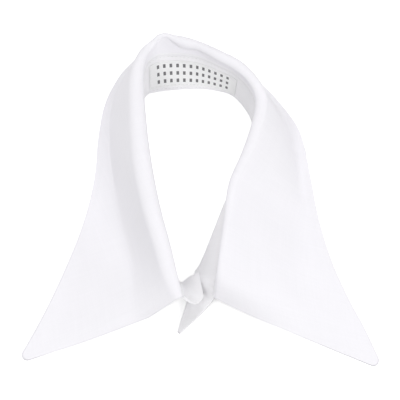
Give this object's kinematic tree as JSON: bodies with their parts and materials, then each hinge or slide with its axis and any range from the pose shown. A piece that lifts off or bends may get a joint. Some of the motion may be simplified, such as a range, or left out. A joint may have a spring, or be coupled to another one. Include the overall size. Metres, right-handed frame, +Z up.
{
  "type": "detachable shirt collar",
  "caption": "Detachable shirt collar with a stand band and a folded leaf whose two long points spread flat, buttoned at the front and resting on a surface.",
  "frame": {"origin": "the middle of the collar's outline, on the surface that it rests on", "axes": "+X across the collar to its wearer's left, +Y towards its back, +Z up off the surface"},
  "size_m": [0.217, 0.2165, 0.0378],
  "materials": {
    "leaf_cotton": "pressed white cotton poplin",
    "band_cotton": "pressed white cotton poplin, fused",
    "label_tape": "white woven tape with a plain printed scale",
    "button": "white four-hole shirt button",
    "thread": "white sewing thread"
  },
  "bodies": {
    "root": {"collar_leaf": "leaf_cotton", "collar_band": "band_cotton", "neck_label": "label_tape", "band_button": "button", "button_shank": "thread"}
  },
  "joints": []
}
